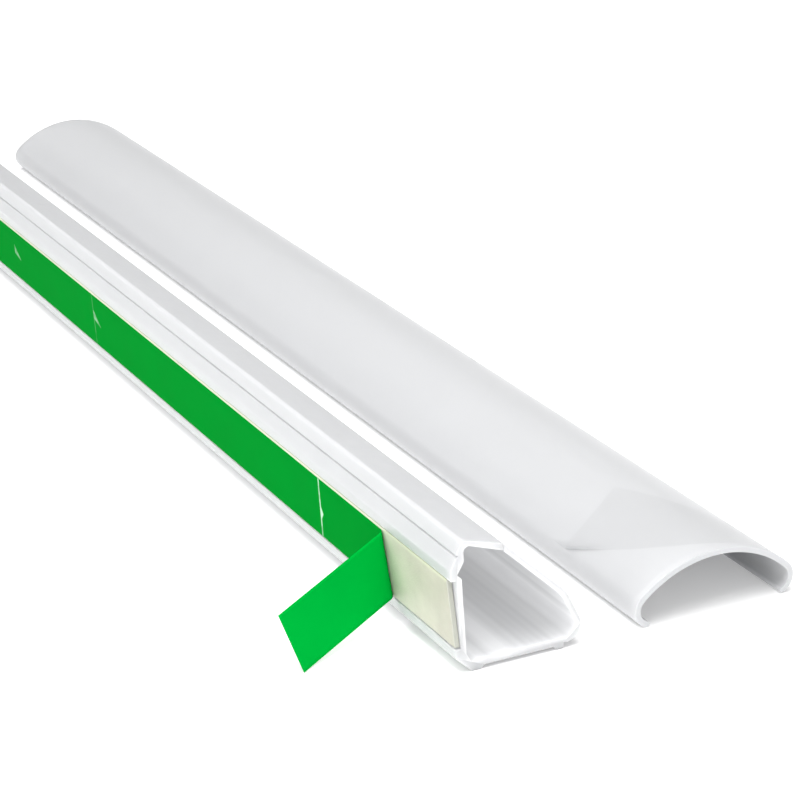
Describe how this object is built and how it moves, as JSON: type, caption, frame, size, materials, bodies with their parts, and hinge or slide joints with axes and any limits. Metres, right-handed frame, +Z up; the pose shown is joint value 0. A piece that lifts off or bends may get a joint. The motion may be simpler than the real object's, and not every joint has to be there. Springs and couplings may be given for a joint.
{
  "type": "cord cover raceway",
  "caption": "Corner cord raceway: a taped, extruded triangular base and its arched clip-on cover, lying side by side.",
  "frame": {"origin": "centre of the whole part's box at floor level", "axes": "+Y along both profiles, away from the peeled end; +X from the base towards the cover; +Z up from the floor"},
  "size_m": [0.1214, 0.41, 0.0313],
  "materials": {
    "base": "white extruded vinyl, satin",
    "foam_tape": "pale foam tape with tacky adhesive",
    "release_liner": "green release film, slightly glossy",
    "cover": "white extruded vinyl, satin",
    "protective_film": "thin clear film"
  },
  "bodies": {
    "root": {"base": "base", "foam_tape": "foam_tape", "release_liner": "release_liner", "cover": "cover", "protective_film": "protective_film"}
  },
  "joints": []
}
